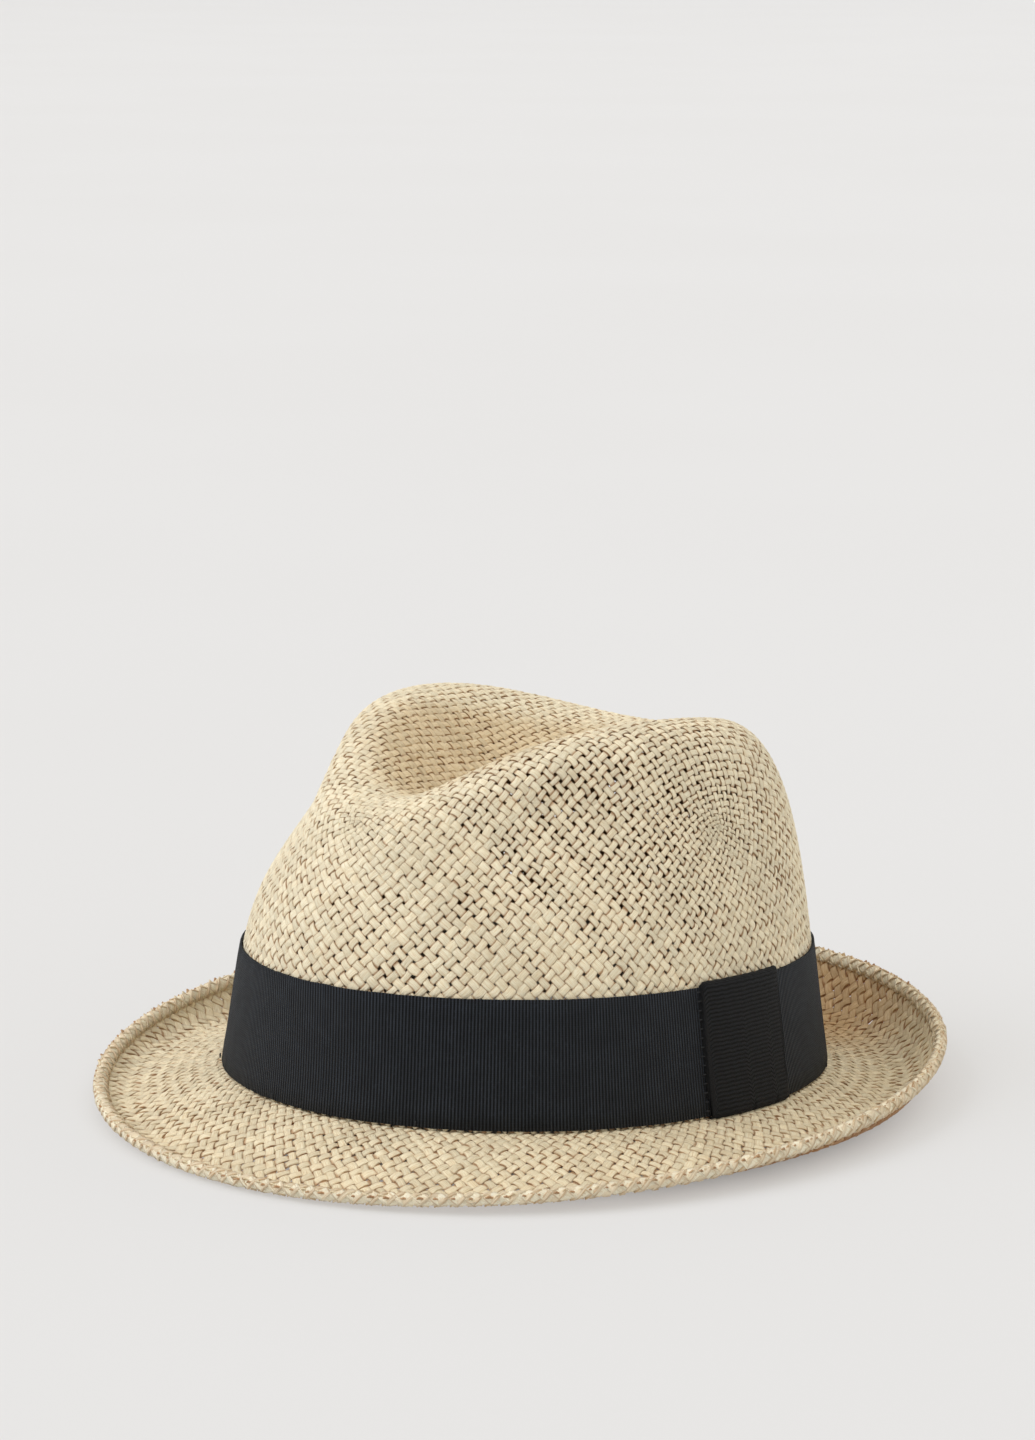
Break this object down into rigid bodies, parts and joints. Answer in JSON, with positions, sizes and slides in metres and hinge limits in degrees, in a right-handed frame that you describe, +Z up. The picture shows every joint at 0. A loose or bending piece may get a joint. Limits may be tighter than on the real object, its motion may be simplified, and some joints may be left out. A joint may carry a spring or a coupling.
{
  "type": "fedora hat",
  "caption": "Short-brimmed woven straw hat with a creased, pinched crown, a grosgrain ribbon band with a flat keeper, and a sweatband inside.",
  "frame": {"origin": "on the floor under the middle of the hat's bounding box, the hat lying on its brim", "axes": "+X to the front of the hat, +Y to the wearer's left, +Z up"},
  "size_m": [0.2782, 0.249, 0.1193],
  "materials": {
    "straw": "plain-woven natural paper straw, matt with a slight wax sheen",
    "ribbon": "ribbed grosgrain, near-black navy, low sheen",
    "sweatband": "undyed cotton twill",
    "label": "blank woven satin",
    "pale_thread": "spun thread",
    "dark_thread": "spun thread"
  },
  "bodies": {
    "root": {"straw_crown": "straw", "straw_brim": "straw", "ribbon_band": "ribbon", "ribbon_keeper": "ribbon", "sweatband": "sweatband", "joint_tape": "sweatband", "blank_label": "label", "sweatband_stitches": "pale_thread", "band_tacks": "dark_thread", "keeper_stitches": "dark_thread"}
  },
  "joints": []
}
